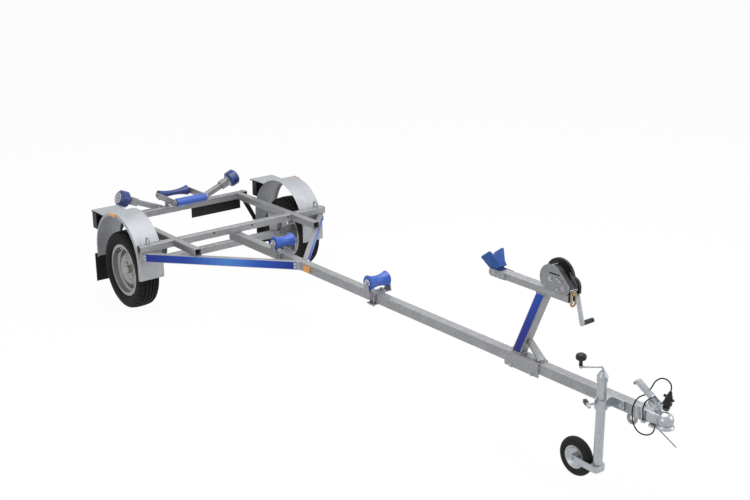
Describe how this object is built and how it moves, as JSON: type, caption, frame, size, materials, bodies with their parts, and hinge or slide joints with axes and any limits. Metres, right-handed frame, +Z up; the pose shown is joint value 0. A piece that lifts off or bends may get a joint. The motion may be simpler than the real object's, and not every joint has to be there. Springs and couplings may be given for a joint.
{
  "type": "boat trailer",
  "caption": "Small unbraked boat trailer: drawbar with V braces, axle, mudguards, keel and wobble rollers, winch stand, ball coupling and jockey wheel.",
  "frame": {"origin": "on the floor below the middle of the trailer's length and width", "axes": "+X forward to the coupling, +Y to the trailer's left, +Z up"},
  "size_m": [4.8072, 1.558, 1.0599],
  "materials": {
    "galvanised": "hot-dip galvanised",
    "zinc": "bright zinc plated",
    "yellow_zinc": "yellow passivated zinc",
    "rim_silver": "silver lacquer",
    "black_steel": "black coated",
    "tyre": "road tyre",
    "black_rubber": "matt",
    "roller_blue": "satin polyurethane",
    "roller_navy": "satin polyurethane",
    "hub_white": "satin",
    "stop_blue": "matt",
    "black_plastic": "moulded",
    "strap": "woven",
    "red_lens": "clear moulded",
    "amber_lens": "clear moulded"
  },
  "bodies": {
    "frame": {"axle_beam": "galvanised", "bow_stop": "stop_blue", "cable": "black_rubber", "coupling_body": "zinc", "coupling_handle": "zinc", "cradle_arms": "galvanised", "drawbar": "galvanised", "fender_left": "galvanised", "fender_right": "galvanised", "fender_stays": "black_steel", "front_beam": "galvanised", "jockey_clamp": "zinc", "keel_bracket_front": "galvanised", "keel_bracket_rear": "galvanised", "lashing_loops": "galvanised", "lead": "black_rubber", "mud_flaps": "black_rubber", "plate_holder": "black_plastic", "plug": "black_plastic", "rear_beam": "galvanised", "safety_eye": "galvanised", "safety_wire": "zinc", "side_markers": "amber_lens", "side_rail_left": "galvanised", "side_rail_right": "galvanised", "stub_axle_left": "galvanised", "stub_axle_right": "galvanised", "tail_lamps": "black_plastic", "tail_lenses": "red_lens", "v_brace_left": "galvanised", "v_brace_right": "galvanised", "winch_cover": "black_plastic", "winch_crank": "zinc", "winch_drum": "strap", "winch_frame": "zinc", "winch_grip": "black_plastic", "winch_head": "galvanised", "winch_hook": "yellow_zinc", "winch_post": "galvanised", "winch_saddle": "galvanised", "wobble_arm_left": "galvanised", "wobble_arm_right": "galvanised"},
    "wheel_right": {"tyre_right": "tyre", "rim_right": "rim_silver"},
    "wheel_left": {"tyre_left": "tyre", "rim_left": "rim_silver"},
    "keel_roller_rear": {"keel_roller_rear": "roller_blue"},
    "keel_roller_front": {"keel_roller_front": "roller_blue"},
    "stern_roller": {"stern_roller": "roller_navy"},
    "cradle_roller": {"cradle_roller": "roller_blue"},
    "wobble_right": {"wobble_roller_right": "roller_navy", "wobble_hub_right": "hub_white"},
    "wobble_left": {"wobble_roller_left": "roller_navy", "wobble_hub_left": "hub_white"},
    "jockey_leg": {"jockey_tube": "zinc", "jockey_knob": "black_plastic"},
    "jockey_caster": {"jockey_fork": "zinc"},
    "jockey_wheel": {"jockey_tyre": "black_rubber", "jockey_rim": "rim_silver"}
  },
  "joints": [
    {"name": "wheel_right_spin", "type": "hinge", "parent": "frame", "child": "wheel_right", "pos_m": [-1.748, -0.677, 0.273], "axis": [0, 1, 0], "continuous": true},
    {"name": "wheel_left_spin", "type": "hinge", "parent": "frame", "child": "wheel_left", "pos_m": [-1.748, 0.677, 0.273], "axis": [0, 1, 0], "continuous": true},
    {"name": "keel_roller_rear_spin", "type": "hinge", "parent": "frame", "child": "keel_roller_rear", "pos_m": [-0.868, 0, 0.548], "axis": [0, 1, 0], "continuous": true},
    {"name": "keel_roller_front_spin", "type": "hinge", "parent": "frame", "child": "keel_roller_front", "pos_m": [0.142, 0, 0.548], "axis": [0, 1, 0], "continuous": true},
    {"name": "stern_roller_spin", "type": "hinge", "parent": "frame", "child": "stern_roller", "pos_m": [-2.336, 0, 0.574], "axis": [0, 1, 0], "continuous": true},
    {"name": "cradle_roller_spin", "type": "hinge", "parent": "frame", "child": "cradle_roller", "pos_m": [-2.072, 0, 0.574], "axis": [0, 1, 0], "continuous": true},
    {"name": "wobble_right_spin", "type": "hinge", "parent": "frame", "child": "wobble_right", "pos_m": [-2.239, -0.465, 0.62927], "axis": [0, -0.9272, 0.3746], "continuous": true},
    {"name": "wobble_left_spin", "type": "hinge", "parent": "frame", "child": "wobble_left", "pos_m": [-2.239, 0.465, 0.62927], "axis": [0, 0.9272, 0.3746], "continuous": true},
    {"name": "jockey_lift", "type": "slide", "parent": "frame", "child": "jockey_leg", "axis": [0, 0, 1], "range_m": [0, 0.11]},
    {"name": "jockey_swivel", "type": "hinge", "parent": "jockey_leg", "child": "jockey_caster", "pos_m": [2.017, -0.097, 0.122], "axis": [0, 0, 1], "continuous": true},
    {"name": "jockey_wheel_spin", "type": "hinge", "parent": "jockey_caster", "child": "jockey_wheel", "pos_m": [1.877, -0.097, 0.105], "axis": [0, 1, 0], "continuous": true}
  ]
}
